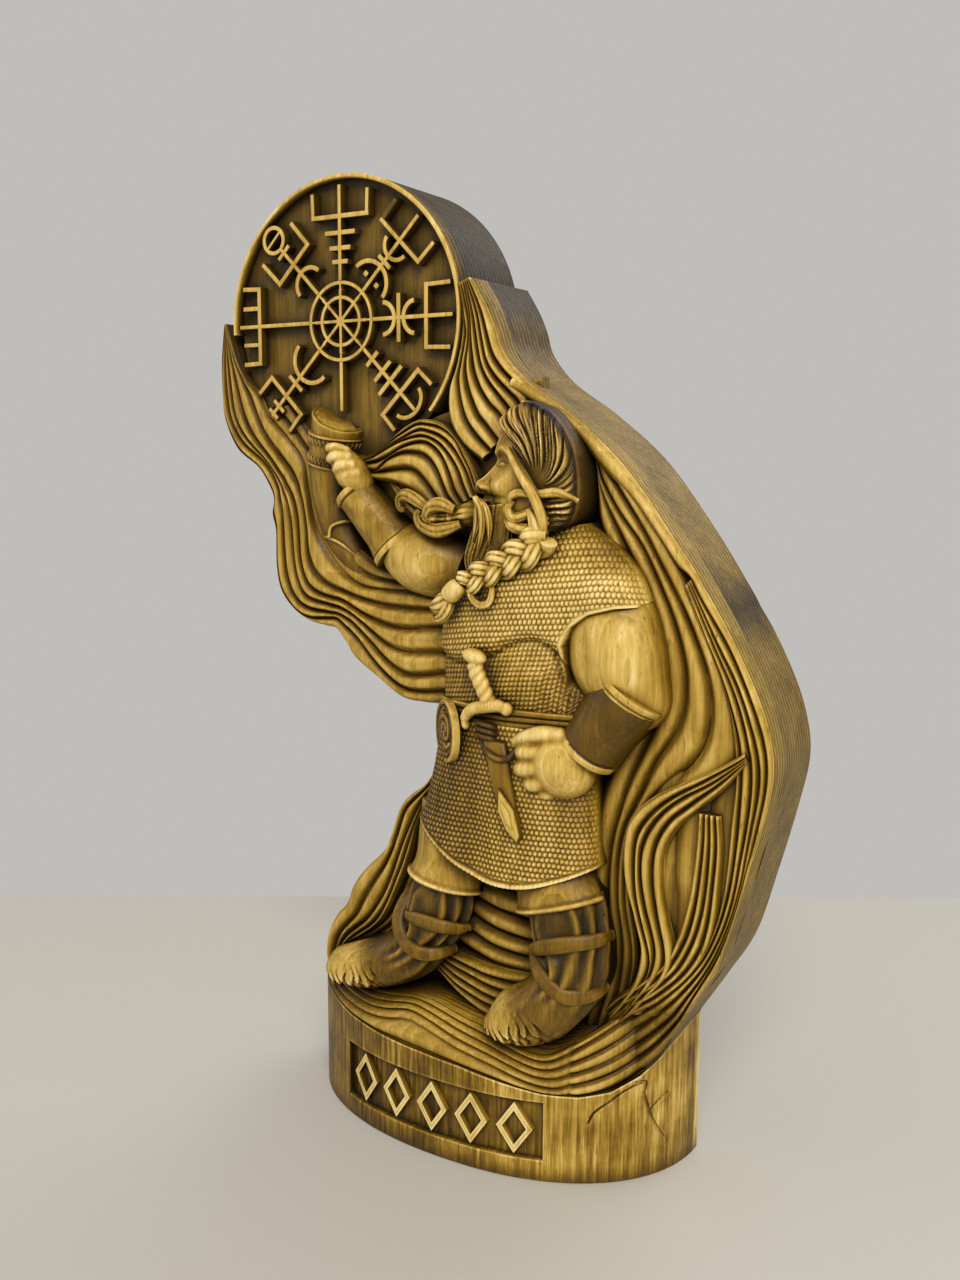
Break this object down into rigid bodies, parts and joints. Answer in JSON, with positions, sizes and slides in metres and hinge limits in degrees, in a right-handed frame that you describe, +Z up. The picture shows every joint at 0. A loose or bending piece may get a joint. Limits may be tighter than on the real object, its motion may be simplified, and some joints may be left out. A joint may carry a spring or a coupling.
{
  "type": "carved dwarf statuette",
  "caption": "Free-standing carved wooden relief of a dwarf warrior drinking from a horn, wrapped in wind-blown strands below a round compass stave, on a low D-shaped plinth.",
  "frame": {"origin": "middle of the plinth's flat underside, where its width and depth are measured from", "axes": "+Z up, +X to the viewer's right when seen from the front, the carved front faces -Y, the flat back +Y"},
  "size_m": [0.1902, 0.0494, 0.3],
  "materials": {
    "ash_light": "satin",
    "ash_stained": "satin",
    "ash_dark": "satin"
  },
  "bodies": {
    "root": {"beard_braid": "ash_light", "belt_buckle": "ash_light", "between_legs_folds": "ash_light", "braid_tassel": "ash_light", "compass_arm_e": "ash_light", "compass_arm_n": "ash_light", "compass_arm_ne": "ash_light", "compass_arm_nw": "ash_light", "compass_arm_s": "ash_light", "compass_arm_se": "ash_light", "compass_arm_sw": "ash_light", "compass_arm_w": "ash_light", "compass_hub": "ash_light", "crown_strands": "ash_light", "dagger_grip": "ash_light", "dagger_guard": "ash_light", "dagger_scabbard": "ash_light", "disc_rim": "ash_light", "drinking_horn": "ash_light", "face": "ash_light", "ground_folds": "ash_light", "horn_band": "ash_light", "left_boot": "ash_light", "left_boot_lower_strap": "ash_light", "left_boot_upper_strap": "ash_light", "left_bracer": "ash_light", "left_fist": "ash_light", "left_lower_strands": "ash_light", "left_thigh": "ash_light", "left_upper_arm": "ash_light", "left_upper_strands": "ash_light", "lower_tongue": "ash_light", "mail_shirt": "ash_light", "mail_skirt": "ash_light", "moustache": "ash_light", "plinth_lozenge_1": "ash_light", "plinth_lozenge_2": "ash_light", "plinth_lozenge_3": "ash_light", "plinth_lozenge_4": "ash_light", "plinth_lozenge_5": "ash_light", "right_boot": "ash_light", "right_boot_strap": "ash_light", "right_bracer": "ash_light", "right_forearm": "ash_light", "right_hand": "ash_light", "right_rim_strands": "ash_light", "right_thigh": "ash_light", "rim_fold": "ash_light", "shoulder_folds": "ash_light", "temple_lock": "ash_light", "upper_tongue": "ash_light", "wind_curl": "ash_light", "wind_tuft": "ash_light", "back_panel": "ash_stained", "beard": "ash_stained", "belt": "ash_stained", "ground": "ash_stained", "plinth": "ash_stained", "compass_disc": "ash_dark", "hair": "ash_dark"}
  },
  "joints": []
}
